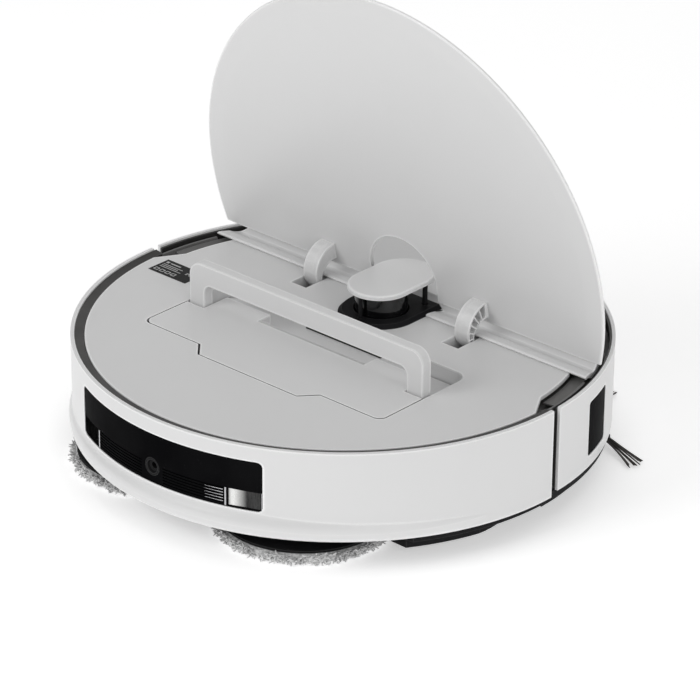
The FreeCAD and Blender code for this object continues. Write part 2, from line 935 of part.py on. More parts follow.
def make_handle():
    half = d.handle_half
    inner = d.handle_half - d.handle_leg
    low = d.handle_pivot
    top = d.handle_top
    bar = d.handle_top - d.handle_bar
    bend = as_size(9.5)
    face = [
        (half, low),
        (half, top - bend),
        (half - bend, top, bend, "left"),
        (-half + bend, top),
        (-half, top - bend, bend, "left"),
        (-half, low),
        (-inner, low),
        (-inner, bar - 6),
        (-inner + 6, bar, 6, "right"),
        (inner - 6, bar),
        (inner, bar - 6, 6, "right"),
        (inner, low),
    ]
    rear_face = -d.handle_place + d.handle_deep / 2
    bail = padded("XZ_Plane", face, d.handle_deep, (0, rear_face, 0))
    eyes = []
    for side in (1, -1):
        x0 = inner if side > 0 else -half
        eyes.append(cylinder(d.handle_deep / 2, d.handle_leg, (x0, -d.handle_place, low), ALONG_X))
    bore = cylinder(2.56, 240, (-120, -d.handle_place, low), ALONG_X)
    subpart("handle", cut(fuse(bail, *eyes), bore))
    pins = []
    for side in (1, -1):
        x0 = 85.2 if side > 0 else -101.8
        pins.append(cylinder(2.5, 16.6, (x0, -d.handle_place, low), ALONG_X))
    subpart("handle_pins", group(*pins))


def make_dust_bin():
    half = d.bin_half
    low = d.bin_low
    outer = rounded_box((-half, -72, low), (half, -15.2, 64.4), as_size(6))
    inner = rounded_box((-half + 2, -70, low + 2), (half - 2, -17.2, 70), as_size(5))
    inlet = box((-34, -20, low + 6), (34, -10, 60))
    outlet = box((-46, -76, low + 5), (46, -66, 61))
    subpart("dust_bin", cut(outer, inner, inlet, outlet))
    pleats = []
    for i in range(24):
        x0 = -45.6 + 3.8 * i
        pleats.append(box((x0, -71.6, low + 5.6), (x0 + 2.2, -64.4, 60.4)))
    frame = cut(
        box((-45.8, -73.6, low + 5.2), (45.8, -70.2, 60.8)),
        box((-43, -80, low + 8), (43, -60, 58)),
    )
    subpart("filter_frame", cut(frame, box((-45.7, -72.2, 36), (45.7, -64, 60.9))))
    web = box((-45.6, -69.2, low + 5.6), (45.4, -67.6, 60.4))
    subpart("filter_pleats", fuse(web, *pleats))


# ---- lidar --------------------------------------------------------------------------------

LIDAR_POSTS = [(17.4, 60.0, 1.7), (-17.4, 60.0, 1.7), (0.0, 16.6, 1.3)]


def make_lidar():
    low = d.deck_top
    high = d.base_top
    rear = d.notch_centre
    wide = d.base_radius
    slab = stadium(wide, rear, d.base_front - wide, low, high - low)
    square = box((-wide, rear, low), (wide, d.base_front, high))
    skirt = stadium(wide - 2.4, rear, 40, low - 7, 8)
    rear_slope = cut(
        cylinder(wide + 4, 6, (0, rear, low)),
        cone(wide + 0.2, wide - 2.7, 2.9, (0, rear, low)),
        half_space(rear),
    )
    slopes = []
    for side in (1, -1):
        corners = [
            ((wide + 0.2) * side, low),
            ((wide + 6) * side, low),
            ((wide + 6) * side, low + 6),
            ((wide - 2.5) * side, low + 2.71),
        ]
        if side < 0:
            corners.reverse()
        slopes.append(padded("XZ_Plane", corners, 50, (0, rear + 49, 0)))
    tools = [cylinder(d.turret_radius + 0.9, 60, (0, d.lidar_place, 50))]
    for x, y, radius in LIDAR_POSTS:
        tools.append(cylinder(radius + 0.6, 60, (x, y, 50)))
    body = fuse(slab, square, skirt)
    subpart("lidar_base", cut(body, rear_slope, *slopes, *tools))

    turret = cylinder(d.turret_radius, 26.6, (0, d.lidar_place, 67.6))
    bore = cylinder(3.05, 10, (0, d.lidar_place, 66))
    eye_slot = box((-7, d.lidar_place + 12, 85), (7, d.lidar_place + 20, 92))
    subpart("lidar_turret", cut(turret, bore, eye_slot))

    tray = box((-20, 14, 62.5), (20, 63, 66.5))
    spindle = cylinder(3.0, 8, (0, d.lidar_place, 66.4))
    posts = [cylinder(r, d.cap_low - 64, (x, y, 64)) for x, y, r in LIDAR_POSTS]
    subpart("lidar_carriage", fuse(tray, spindle, *posts))

    cap = stadium(d.cap_radius, d.cap_rear, d.cap_front, d.cap_low, d.cap_thick)
    doc.recompute()
    soften(cap, 1.0)
    subpart("lidar_cap", cap)


def soften(body, radius):
    """Round the edges around the upper face of a padded body."""
    solid = body.Tip
    top = solid.Shape.BoundBox.ZMax
    names = []
    for i, edge in enumerate(solid.Shape.Edges, start=1):
        if edge.BoundBox.ZMin > top - 0.01:
            names.append(f"Edge{i}")
    fillet = body.newObject("PartDesign::Fillet", "fillet")
    fillet.Base = (solid, names)
    bind(fillet, "Radius", radius)


# ---- bumper --------------------------------------------------------------------------------


def make_bumper():
    outer = d.body_radius
    inner = d.body_radius - d.bumper_thick
    low = d.bumper_low
    ring = tube(outer, inner, d.rim_top - low, (0, 0, low))
    windows = [side_window_block(0), front_window_block(0)]
    subpart("bumper_shell", cut(ring, behind(d.bumper_end), *windows))
    glass = tube(outer - 0.5, inner - 1.2, d.rim_top - low, (0, 0, low))
    panes = [common(glass, block(-0.12)) for block in (side_window_block, front_window_block)]
    subpart("bumper_windows", group(*panes))
    strip = cut(
        tube(outer - 1.8, inner - 1.0, low - 16.4, (0, 0, 16.4)),
        behind(d.bumper_end - 2.5),
    )
    subpart("bumper_strip", strip)
    liner_low = 71
    band = cut(
        tube(inner - 0.05, inner - 1.4, d.rim_top - 1.4 - liner_low, (0, 0, liner_low)),
        behind(d.bumper_end),
    )
    flanges = []
    for side in (1, -1):
        corner = (inner - 4.3, d.bumper_end, low + 1)
        end = (inner - 0.2, d.bumper_end + 1.6, liner_low + 1)
        flanges.append(side_box(side, corner, end))
    subpart("bumper_liner", fuse(band, *flanges))


def side_window_block(grow):
    """The upright slot of the side sensor in the bumper's right side."""
    y0 = 43.0 - grow
    y1 = 71.0 + grow
    z0 = 29.6 - grow
    z1 = 68.0 + grow
    soft = as_size(2.5)
    corners = [
        (y1, z0 + soft, soft, "left"),
        (y1, z1 - soft),
        (y1 - soft, z1, soft, "left"),
        (y0 + soft, z1),
        (y0, z1 - soft, soft, "left"),
        (y0, z0 + soft),
        (y0 + soft, z0, soft, "left"),
        (y1 - soft, z0),
    ]
    return padded("YZ_Plane", corners, 60, (140, 0, 0))


def front_window_block(grow):
    x1 = 78.0 + grow
    z0 = 40.0 - grow
    z1 = 68.0 + grow
    soft = as_size(6)
    corners = [
        (x1 - soft, z0),
        (x1, z0 + soft, soft, "left"),
        (x1, z1 - soft),
        (x1 - soft, z1, soft, "left"),
        (-x1 + soft, z1),
        (-x1, z1 - soft, soft, "left"),
        (-x1, z0 + soft),
        (-x1 + soft, z0, soft, "left"),
    ]
    return padded("XZ_Plane", corners, 70, (0, 190, 0))


# ---- mops -----------------------------------------------------------------------------------


def make_mops():
    rear = -d.mop_rear
    gears = [cylinder(22, 10, (mop_x(side), rear, 27)) for side in (1, -1)]
    beam = box((mop_x(-1), rear - 9, 27), (mop_x(1), rear + 9, 37))
    bores = [cylinder(6.06, 30, (mop_x(side), rear, 20)) for side in (1, -1)]
    subpart("mop_carriage", cut(fuse(beam, *gears), *bores))
    for name, side in (("left", -1), ("right", 1)):
        x = mop_x(side)
        low = d.pad_thick
        disc = revolved(
            [
                (0, low),
                (d.pad_radius - 3.5, low),
                (d.pad_radius - 3.5, low + 1.6),
                (d.pad_radius - 16, low + 4.4),
                (12, low + 6.4),
                (9.6, low + 10),
                (6, low + 10),
                (6, 40),
                (0, 40),
            ],
            at=(x, rear, 0),
        )
        subpart(f"mop_disc_{name}", disc)
        pad = revolved(
            [
                (0, 0),
                (d.pad_radius - 2.5, 0),
                (d.pad_radius, 3.2, 3.4, "left"),
                (d.pad_radius - 1.6, low - 0.6, 4.2, "left"),
                (d.pad_radius - 3.4, low),
                (0, low),
            ],
            at=(x, rear, 0),
        )
        subpart(f"mop_pad_{name}", pad)


# ---- brushes --------------------------------------------------------------------------------

BRUSH_CORE = 13
BRUSH_FINS = 6


def make_main_brush():
    y = d.brush_place
    z = d.brush_height
    half = d.brush_half
    outer = box((-79.6, 29.8, d.belly + 0.6), (79.6, 76.2, 47))
    inner = box((-77.4, 32, 0), (77.4, 74, 45))
    duct = box((-34, 20, 30), (34, 40, 43))
    bearing = [cylinder(4.06, 10, (x0, y, z), ALONG_X) for x0 in (-82, 72)]
    subpart("brush_housing", cut(outer, inner, duct, *bearing))
    core = cylinder(BRUSH_CORE, 2 * half, (-half, y, z), ALONG_X)
    axle = cylinder(4.0, 2 * half + 8.4, (-half - 4.2, y, z), ALONG_X)
    subpart("brush_core", fuse(core, axle))
    fins = [brush_fin(360 / BRUSH_FINS * i + 15) for i in range(BRUSH_FINS)]
    subpart("brush_fins", group(*fins))
    rail_low = d.belly - 1.6
    frame = cut(
        rounded_box((-79.4, 30, rail_low), (79.4, 76, d.belly + 0.5), as_size(4)),
        box((-75.5, 35, 0), (75.5, 71, 30)),
    )
    subpart("brush_guard", frame)


def brush_fin(turn):
    """A straight rubber blade along the brush, at an angle around its core."""
    y = d.brush_place
    z = d.brush_height
    half = d.brush_half - 1
    fin = box((-half, y - 1.1, z + BRUSH_CORE + 0.05), (half, y + 1.1, z + d.brush_radius))
    return turned(fin, Rotation(Vector(1, 0, 0), turn), (0, y, z))


SIDE_ARMS = (-16.5, 114.0, 231.0)


def make_side_brush():
    x = d.side_place
    y = d.side_front
    hub = fuse(
        cylinder(11, 3.6, (x, y, 4.8)),
        cylinder(4.5, 14, (x, y, 8)),
    )
    fingers = []
    tufts = []
    for angle in SIDE_ARMS:
        spin = Rotation(Vector(0, 0, 1), angle)
        finger = padded(
            "XZ_Plane",
            [(6, 5.2), (24, 3.9), (24, 7.1), (6, 8.2)],
            6,
            (x, y + 3, 0),
        )
        fingers.append(turned(finger, spin, (x, y, 0)))
        tuft = padded(
            "XY_Plane",
            [(24.05, -2.2), (d.side_reach, -4.6), (d.side_reach, 4.6), (24.05, 2.2)],
            1.8,
            (x, y, 4.6),
            spin.multiply(Rotation(Vector(0, 1, 0), 3.2)),
        )
        tufts.append(tuft)
    subpart("side_brush_hub", fuse(hub, *fingers))
    subpart("side_brush_bristles", group(*tufts))


# ---- wheels ---------------------------------------------------------------------------------


def make_drive_wheels():
    y = d.wheel_front
    z = d.wheel_radius
    half = d.wheel_wide / 2
    for name, side in (("left", -1), ("right", 1)):
        x = d.wheel_place * side
        inner_face = 94.5 if side > 0 else -103.5
        lever = fuse(
            cylinder(13, 9, (inner_face, y, z), ALONG_X),
            cylinder(9, 9, (inner_face, -d.arm_rear, d.arm_height), ALONG_X),
            padded(
                "YZ_Plane",
                [
                    (y, z - 12.5),
                    (y + 2, z + 12.6),
                    (-d.arm_rear + 1.5, d.arm_height + 8.8),
                    (-d.arm_rear - 2, d.arm_height - 8.7),
                ],
                9,
                (inner_face, 0, 0),
            ),
        )
        stub_from = 103 if side > 0 else -108
        stub = cylinder(4.0, 5, (stub_from, y, z), ALONG_X)
        pivot = cylinder(3.06, 20, (inner_face - 4, -d.arm_rear, d.arm_height), ALONG_X)
        subpart(f"drive_arm_{name}", cut(fuse(lever, stub), pivot))
        hub = revolved(
            [
                (4.06, -half + 1),
                (24, -half + 1),
                (28, -half + 3),
                (28, half - 3),
                (24, half - 1),
                (20, half - 4),
                (7, half - 4),
                (7, half - 1.5),
                (0, half - 1.5),
                (0, half - 5),
                (4.06, half - 5),
            ],
            at=(x, y, z),
            turn=Rotation(Vector(0, 1, 0), 90 * side),
        )
        subpart(f"wheel_hub_{name}", hub)
        tyre = new_body((x, y, z), ALONG_X)
        sketch = add_outline(
            tyre,
            "XZ_Plane",
            [
                (28.02, -half),
                (z - 2.4, -half),
                (z, -half + 3, 5, "left"),
                (z, half - 3),
                (z - 2.4, half, 5, "left"),
                (28.02, half),
            ],
        )
        ring = tyre.newObject("PartDesign::Revolution", "ring")
        ring.Profile = sketch
        ring.ReferenceAxis = (sketch, ["V_Axis"])
        ring.Angle = 360
        doc.recompute()
        groove = tyre.newObject("PartDesign::Pocket", "groove")
        groove.Profile = add_outline(
            tyre,
            "XY_Plane",
            [(z - 1.8, -1.1), (z + 3, -1.1), (z + 3, 1.1), (z - 1.8, 1.1)],
        )
        groove.Type = "ThroughAll"
        groove.Midplane = True
        doc.recompute()
        treads = tyre.newObject("PartDesign::PolarPattern", "treads")
        treads.Originals = [groove]
        treads.Axis = (sketch, ["V_Axis"])
        treads.Angle = 360
        treads.Occurrences = 30
        tyre.Tip = treads
        subpart(f"tyre_{name}", tyre)
    posts = []
    for side in (1, -1):
        x0 = 88 if side > 0 else -104
        pin = cylinder(3.0, 16, (x0, -d.arm_rear, d.arm_height), ALONG_X)
        rib = side_box(side, (88, -34, 11.5), (93.8, -22, 52))
        posts.append(fuse(pin, rib))
    subpart("wheel_brackets", group(*posts))


def make_caster():
    y = d.caster_place
    cup = cut(
        cylinder(27.5, 30, (0, y, 11.5)),
        cylinder(25.6, 27.5, (0, y, 11)),
        cylinder(4.06, 30, (0, y, 30)),
    )
    subpart("caster_cup", cup)
    turn_disc = cylinder(22, 4, (0, y, 29))
    stem = cylinder(4.0, 12, (0, y, 32.5))
    axle_y = y - d.caster_trail
    cheeks = []
    for side in (1, -1):
        cheeks.append(side_box(side, (8.6, axle_y - 5, 9), (11.4, axle_y + 12, 30)))
    axle = cylinder(1.95, 22, (-11, axle_y, d.caster_radius), ALONG_X)
    subpart("caster_fork", fuse(turn_disc, stem, axle, *cheeks))
    half = as_size(8)
    wheel = revolved(
        [
            (2.0, -half),
            (d.caster_radius - 2, -half),
            (d.caster_radius, -half + 2, 2.4, "left"),
            (d.caster_radius, half - 2),
            (d.caster_radius - 2, half, 2.4, "left"),
            (2.0, half),
        ],
        at=(0, axle_y, d.caster_radius),
        turn=ALONG_X,
    )
    subpart("caster_wheel", wheel)


def build_all():
    make_rear_shell()
    make_rear_window()
    make_refill_port()
    make_gutters()
    make_deck()
    make_front_cover()
    make_buttons()
    make_label()
    make_chassis_base()
    make_chassis_details()
    make_water_parts()
    make_fan()
    make_lid()
    make_lid_arms()
    make_hinge_pins()
    make_dust_box_plate()
    make_handle()
    make_dust_bin()
    make_lidar()
    make_bumper()
    make_mops()
    make_main_brush()
    make_side_brush()
    make_drive_wheels()
    make_caster()


def export_all():
    os.makedirs("parts", exist_ok=True)
    for obj in doc.Objects:
        if "Invalid" in obj.State or "Error" in obj.State:
            raise RuntimeError(f"{obj.Name} ({obj.Label}) is {obj.State}")
    for label, obj in SUBPARTS.items():
        shape = obj.Shape
        if shape.isNull() or not shape.isValid() or not shape.Solids:
            raise RuntimeError(f"{label} has no valid shape")
        print(f"{label}: {len(shape.Solids)} solids, {shape.Volume / 1000:.2f} cm3")
        shape.exportStep(f"parts/{label}.step")
    print(f"{len(SUBPARTS)} nodes")


build_all()
doc.recompute()
export_all()
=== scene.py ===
"""A round robot vacuum and mop with its lid open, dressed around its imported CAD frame."""

import json
import math
import random

import bpy
import numpy as np
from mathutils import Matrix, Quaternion, Vector


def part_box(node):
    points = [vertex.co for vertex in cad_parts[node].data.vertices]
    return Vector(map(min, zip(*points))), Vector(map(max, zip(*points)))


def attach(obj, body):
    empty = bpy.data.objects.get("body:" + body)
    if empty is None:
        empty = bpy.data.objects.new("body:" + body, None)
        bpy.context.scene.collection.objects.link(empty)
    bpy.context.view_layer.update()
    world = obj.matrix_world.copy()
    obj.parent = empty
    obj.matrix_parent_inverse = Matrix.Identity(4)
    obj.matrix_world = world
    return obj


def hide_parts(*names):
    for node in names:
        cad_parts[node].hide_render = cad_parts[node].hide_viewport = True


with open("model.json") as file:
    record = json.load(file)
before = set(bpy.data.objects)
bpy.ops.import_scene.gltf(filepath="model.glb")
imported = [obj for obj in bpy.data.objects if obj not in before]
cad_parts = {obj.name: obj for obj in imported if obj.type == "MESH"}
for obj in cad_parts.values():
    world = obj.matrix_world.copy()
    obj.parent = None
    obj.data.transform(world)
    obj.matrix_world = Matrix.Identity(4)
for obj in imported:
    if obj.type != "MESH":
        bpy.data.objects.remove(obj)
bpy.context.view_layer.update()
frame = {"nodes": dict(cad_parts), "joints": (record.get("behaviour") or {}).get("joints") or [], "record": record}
scene = bpy.context.scene
random.seed(20)
rng = np.random.default_rng(20)

MM = 0.001


# ---- camera, floor and light -------------------------------------------------------------------

CAMERA_AT = Vector((1.4296, -1.5776, 1.1213))
CAMERA_AIM = Vector((0.0034, 0.0031, 0.0630))
CAMERA_ROLL = math.radians(0.43)


def make_camera():
    data = bpy.data.cameras.new("camera")
    data.sensor_width = 36.0
    data.lens = 189.5
    data.clip_start = 0.05
    data.clip_end = 30.0
    camera = bpy.data.objects.new("camera", data)
    look = (CAMERA_AIM - CAMERA_AT).to_track_quat("-Z", "Y")
    camera.rotation_mode = "QUATERNION"
    camera.rotation_quaternion = look @ Quaternion((0, 0, 1), CAMERA_ROLL)
    camera.location = CAMERA_AT
    scene.collection.objects.link(camera)
    scene.camera = camera


def area_light(name, at, aim, size, power, colour=(1, 1, 1)):
    data = bpy.data.lights.new(name, "AREA")
    data.shape = "RECTANGLE"
    data.size, data.size_y = size
    data.energy = power
    data.color = colour
    light = bpy.data.objects.new(name, data)
    light.location = at
    light.rotation_mode = "QUATERNION"
    light.rotation_quaternion = (Vector(aim) - Vector(at)).to_track_quat("-Z", "Y")
    scene.collection.objects.link(light)


def make_lights():
    area_light("key", (-0.9, -2.0, 1.5), (0, -0.05, 0.05), (1.4, 1.2), 22)
    area_light("fill", (2.3, -0.7, 1.0), (0, 0, 0.05), (1.6, 1.4), 15)
    area_light("overhead", (0.1, 0.5, 2.3), (0, 0, 0), (2.0, 2.0), 8)
    area_light("back", (-1.2, 2.0, 1.1), (0, 0, 0.1), (1.6, 1.2), 4)
    world = bpy.data.worlds.new("studio")
    world.use_nodes = True
    background = world.node_tree.nodes["Background"]
    background.inputs["Color"].default_value = (1, 1, 1, 1)
    background.inputs["Strength"].default_value = 0.28
    scene.world = world
    scene.view_settings.view_transform = "Standard"
    scene.view_settings.look = "None"


# ---- materials ---------------------------------------------------------------------------------


class Look:
    """A Principled material whose pattern is made of nodes, in metres on the object."""

    def __init__(self, name, **sockets):
        self.material = bpy.data.materials.new(name)
        self.material.use_nodes = True
        self.tree = self.material.node_tree
        self.tree.nodes.clear()
        self.shader = self.tree.nodes.new("ShaderNodeBsdfPrincipled")
        output = self.tree.nodes.new("ShaderNodeOutputMaterial")
        self.link(self.shader.outputs["BSDF"], output.inputs["Surface"])
        self.where = self.tree.nodes.new("ShaderNodeTexCoord").outputs["Object"]
        for socket, value in sockets.items():
            self.shader.inputs[socket.replace("_", " ")].default_value = value

    def link(self, source, target):
        self.tree.links.new(source, target)

    def stretched(self, scale):
        """The object's coordinates, scaled along each axis."""
        node = self.tree.nodes.new("ShaderNodeMapping")
        node.inputs["Scale"].default_value = scale
        self.link(self.where, node.inputs["Vector"])
        return node.outputs["Vector"]

    def noise(self, scale, detail=3.0, rough=0.5, where=None):
        node = self.tree.nodes.new("ShaderNodeTexNoise")
        node.inputs["Scale"].default_value = scale
        node.inputs["Detail"].default_value = detail
        node.inputs["Roughness"].default_value = rough
        self.link(where or self.where, node.inputs["Vector"])
        return node.outputs["Fac"]

    def bands(self, scale, direction):
        node = self.tree.nodes.new("ShaderNodeTexWave")
        node.bands_direction = direction
        node.inputs["Scale"].default_value = scale
        node.inputs["Distortion"].default_value = 0.4
        self.link(self.where, node.inputs["Vector"])
        return node.outputs["Fac"]

    def ramp(self, factor, *stops):
        """Colours along a pattern, each stop a position and a colour."""
        node = self.tree.nodes.new("ShaderNodeValToRGB")
        elements = node.color_ramp.elements
        while len(elements) < len(stops):
            elements.new(0.5)
        for element, (position, colour) in zip(elements, stops):
            element.position = position
            element.color = (*colour, 1)
        self.link(factor, node.inputs["Fac"])
        return node.outputs["Color"]

    def along_x(self, reach, *stops):
        """Values along the object's X axis, the stops' positions going from 0 to 1 over reach."""
        start, end = reach
        share = 1 / (end - start)
        node = self.tree.nodes.new("ShaderNodeMapping")
        node.inputs["Scale"].default_value = (share, 1, 1)
        node.inputs["Location"].default_value = (-start * share, 0, 0)
        self.link(self.where, node.inputs["Vector"])
        fade = self.tree.nodes.new("ShaderNodeTexGradient")
        self.link(node.outputs["Vector"], fade.inputs["Vector"])
        return self.ramp(fade.outputs["Fac"], *stops)

    def span(self, factor, low, high, start=0.3, end=0.7):
        """A pattern's values from start to end, spread from low to high."""
        node = self.tree.nodes.new("ShaderNodeMapRange")
        values = {"From Min": start, "From Max": end, "To Min": low, "To Max": high}
        for socket, value in values.items():
            node.inputs[socket].default_value = value
        self.link(factor, node.inputs["Value"])
        return node.outputs["Result"]

    def mix(self, factor, first, second):
        node = self.tree.nodes.new("ShaderNodeMix")
        node.data_type = "RGBA"
        self.link(factor, node.inputs["Factor"])
        for socket, value in (("A", first), ("B", second)):
            target = [i for i in node.inputs if i.name == socket and i.type == "RGBA"][0]
            if isinstance(value, tuple):
                target.default_value = (*value, 1)
            else:
                self.link(value, target)
        return [o for o in node.outputs if o.type == "RGBA"][0]

    def edge_share(self, radius):
        """How near a point is to a corner of the shape, from 0 to 1."""
        soft = self.tree.nodes.new("ShaderNodeBevel")
        soft.samples = 4
        soft.inputs["Radius"].default_value = radius
        plain = self.tree.nodes.new("ShaderNodeNewGeometry")
        dot = self.tree.nodes.new("ShaderNodeVectorMath")
        dot.operation = "DOT_PRODUCT"
        self.link(soft.outputs["Normal"], dot.inputs[0])
        self.link(plain.outputs["Normal"], dot.inputs[1])
        return self.span(dot.outputs["Value"], 1.0, 0.0, 0.92, 0.999)

    def bump(self, height, distance, strength=1.0, under=None):
        node = self.tree.nodes.new("ShaderNodeBump")
        node.inputs["Distance"].default_value = distance
        node.inputs["Strength"].default_value = strength
        self.link(height, node.inputs["Height"])
        if under:
            self.link(under, node.inputs["Normal"])
        return node.outputs["Normal"]

    def rounded(self, radius):
        node = self.tree.nodes.new("ShaderNodeBevel")
        node.samples = 4
        node.inputs["Radius"].default_value = radius
        return node.outputs["Normal"]

    def finish(self, colour=None, roughness=None, normal=None):
        ends = {"Base Color": colour, "Roughness": roughness, "Normal": normal}
        for socket, source in ends.items():
            if source:
                self.link(source, self.shader.inputs[socket])
        return self.material


def moulded(name, dark, light, rough, grain, edge_highlight_colour, round_edge, **sockets):
    """Moulded plastic: spark-eroded grain, faint flow marks and a painted highlight that lightens the colour near
    every edge.
    """
    look = Look(name, **sockets)
    flow = look.noise(9, 4)
    body = look.ramp(flow, (0.3, dark), (0.7, light))
    # Painted highlight: the colour is lightened towards the edge colour near every edge.
    painted_edge_highlight = look.edge_share(round_edge * 3)
    colour = look.mix(look.span(painted_edge_highlight, 0, 1, 0, 0.6), body, edge_highlight_colour)
    fine = look.noise(grain, 2, 0.6)
    smears = look.noise(38, 5, 0.6)
    normal = look.bump(fine, 0.02 * MM, 0.35, look.rounded(round_edge))
    return look.finish(colour, look.span(smears, rough[0], rough[1]), normal)


def make_white_plastic():
    return moulded(
        "white_plastic",
        (0.743, 0.743, 0.743),
        (0.757, 0.757, 0.757),
        (0.31, 0.37),
        1500,
        # Colour of the painted edge highlight.
        (1.0, 1.0, 1.0),
        0.8 * MM,
        Specular_IOR_Level=0.5,
    )


def make_charcoal_plastic():
    return moulded(
        "charcoal_plastic",
        (0.030, 0.029, 0.028),
        (0.042, 0.040, 0.039),
        (0.34, 0.48),
        1500,
        # Colour of the painted edge highlight.
        (0.11, 0.11, 0.11),
        0.3 * MM,
        Specular_IOR_Level=0.3,
    )


def make_black_plastic():
    return moulded(
        "black_plastic",
        (0.010, 0.010, 0.011),
        (0.017, 0.017, 0.018),
        (0.34, 0.52),
        1300,
        # Colour of the painted edge highlight.
        (0.05, 0.05, 0.05),
        0.3 * MM,
        Specular_IOR_Level=0.03,
    )


def make_gutter_plastic():
    return moulded(
        "gutter_plastic",
        (0.125, 0.123, 0.120),
        (0.150, 0.148, 0.145),
        (0.36, 0.50),
        1500,
        # Colour of the painted edge highlight.
        (0.24, 0.24, 0.24),
        0.3 * MM,
        Specular_IOR_Level=0.3,
    )


def polished(name, gloss):
    """Polished infrared window: dark, with dust and hairline scratches."""
    look = Look(name, Coat_Weight=gloss, Coat_Roughness=0.04, Specular_IOR_Level=gloss)
    depth = look.noise(24, 3)
    dust = look.noise(900, 2, 0.7)
    body = look.ramp(depth, (0.35, (0.0035, 0.0035, 0.004)), (0.7, (0.007, 0.007, 0.0075)))
    speck = look.span(dust, 0, 0.4, 0.70, 0.78)
    colour = look.mix(speck, body, (0.06, 0.06, 0.06))
    hairs = look.noise(60, 4, 0.6, look.stretched((1, 1, 30)))
    rough = look.span(hairs, 0.07, 0.16)
    normal = look.bump(hairs, 0.01 * MM, 0.15, look.rounded(0.35 * MM))
    return look.finish(colour, rough, normal)


def make_gloss_black():
    return polished("gloss_black", 0.003)


def make_turret_black():
    return polished("turret_black", 0.4)


def brushed(name, dark, light, rough, stretch, **sockets):
    """Metal with fine parallel scratches."""
    look = Look(name, Metallic=1.0, **sockets)
    lines = look.noise(90, 5, 0.7, look.stretched(stretch))
    stain = look.noise(55, 3)
    colour = look.mix(
        look.span(stain, 0, 0.5),
        look.ramp(lines, (0.3, dark), (0.7, light)),
        dark,
    )
    normal = look.bump(lines, 0.02 * MM, 0.4, look.rounded(0.3 * MM))
    return look.finish(colour, look.span(lines, rough[0], rough[1]), normal)


def make_contact_metal():
    """Plated metal painted near black, with a painted reflection: a bright band along X on the right contact only.
    """
    look = Look("contact_metal", Metallic=1.0, Specular_Tint=(0.12, 0.12, 0.12, 1))
    lines = look.noise(90, 5, 0.7, look.stretched((6, 6, 1)))
    # Painted shade: the metal's colour is kept near black wherever no reflection is painted.
    dull = look.ramp(lines, (0.3, (0.025, 0.025, 0.025)), (0.7, (0.07, 0.07, 0.07)))
    # Painted reflection: a bright band along the object's X axis, falling on the right contact only.
    painted_reflection = look.along_x(
        (-0.08, 0.08),
        (0.845, (0, 0, 0)),
        (0.862, (1, 1, 1)),
        (0.872, (1, 1, 1)),
        (0.920, (0, 0, 0)),
    )
    colour = look.mix(painted_reflection, dull, (0.78, 0.78, 0.77))
    normal = look.bump(lines, 0.02 * MM, 0.4, look.rounded(0.3 * MM))
    return look.finish(colour, look.span(lines, 0.20, 0.36), normal)


def make_steel():
    dark = (0.42, 0.42, 0.44)
    light = (0.66, 0.66, 0.67)
    return brushed("steel", dark, light, (0.22, 0.42), (4, 30, 30))


def rubber(name, dark, light, rough, grain):
    look = Look(name, Specular_IOR_Level=0.35)
    bloom = look.noise(45, 5, 0.65)
    fine = look.noise(grain, 3, 0.6)
    colour = look.ramp(bloom, (0.3, dark), (0.75, light))
    normal = look.bump(fine, 0.06 * MM, 0.5, look.rounded(0.4 * MM))
    return look.finish(colour, look.span(bloom, rough[0], rough[1]), normal)


def make_tyre_rubber():
    return rubber("tyre_rubber", (0.013, 0.013, 0.013), (0.032, 0.031, 0.030), (0.6, 0.85), 900)


def make_brush_rubber():
    return rubber("brush_rubber", (0.05, 0.05, 0.055), (0.085, 0.085, 0.09), (0.45, 0.65), 700)


def make_bristle():
    """Nylon bristles: brown-grey, each a little different, with a slight gloss."""
    look = Look("bristle", Sheen_Weight=0.15)
    along = look.noise(420, 3, 0.7)
    tone = look.ramp(
        along,
        (0.3, (0.014, 0.011, 0.009)),
        (0.6, (0.034, 0.028, 0.023)),
        (0.85, (0.11, 0.095, 0.08)),
    )
    return look.finish(tone, look.span(along, 0.30, 0.5), look.bump(along, 0.05 * MM, 0.4))


def make_mop_fabric():
    """Microfibre pile: pale grey yarn with darker roots and a soft sheen."""
    look = Look("mop_fabric", Sheen_Weight=0.45, Sheen_Roughness=0.5, Specular_IOR_Level=0.2)
    yarn = look.noise(520, 3, 0.65)
    patch = look.noise(70, 3, 0.6)
    light = look.ramp(
        yarn,
        (0.28, (0.50, 0.50, 0.505)),
        (0.5, (0.76, 0.76, 0.76)),
        (0.72, (0.92, 0.92, 0.91)),
    )
    dull = look.ramp(yarn, (0.3, (0.36, 0.36, 0.365)), (0.7, (0.70, 0.70, 0.70)))
    colour = look.mix(look.span(patch, 0, 1, 0.4, 0.65), light, dull)
    fibre = look.noise(3800, 2, 0.6)
    return look.finish(colour, look.span(yarn, 0.8, 0.98), look.bump(fibre, 0.12 * MM, 0.8))


def make_filter_paper():
    look = Look("filter_paper", Specular_IOR_Level=0.2)
    fibre = look.noise(1400, 5, 0.75)
    dust = look.noise(40, 4)
    clean = look.ramp(fibre, (0.3, (0.70, 0.70, 0.66)), (0.7, (0.86, 0.86, 0.82)))
    colour = look.mix(look.span(dust, 0, 0.35), clean, (0.45, 0.43, 0.40))
    return look.finish(colour, look.span(fibre, 0.82, 0.95), look.bump(fibre, 0.08 * MM, 0.8))


def make_circuit():
    """Solder resist with copper tracks under it."""
    look = Look("circuit", Coat_Weight=0.3)
    tracks = look.bands(160, "DIAGONAL")
    mask = look.ramp(tracks, (0.4, (0.008, 0.07, 0.03)), (0.6, (0.02, 0.14, 0.06)))
    grain = look.noise(300, 3)
    return look.finish(mask, look.span(grain, 0.28, 0.45), look.bump(tracks, 0.05 * MM, 0.5))


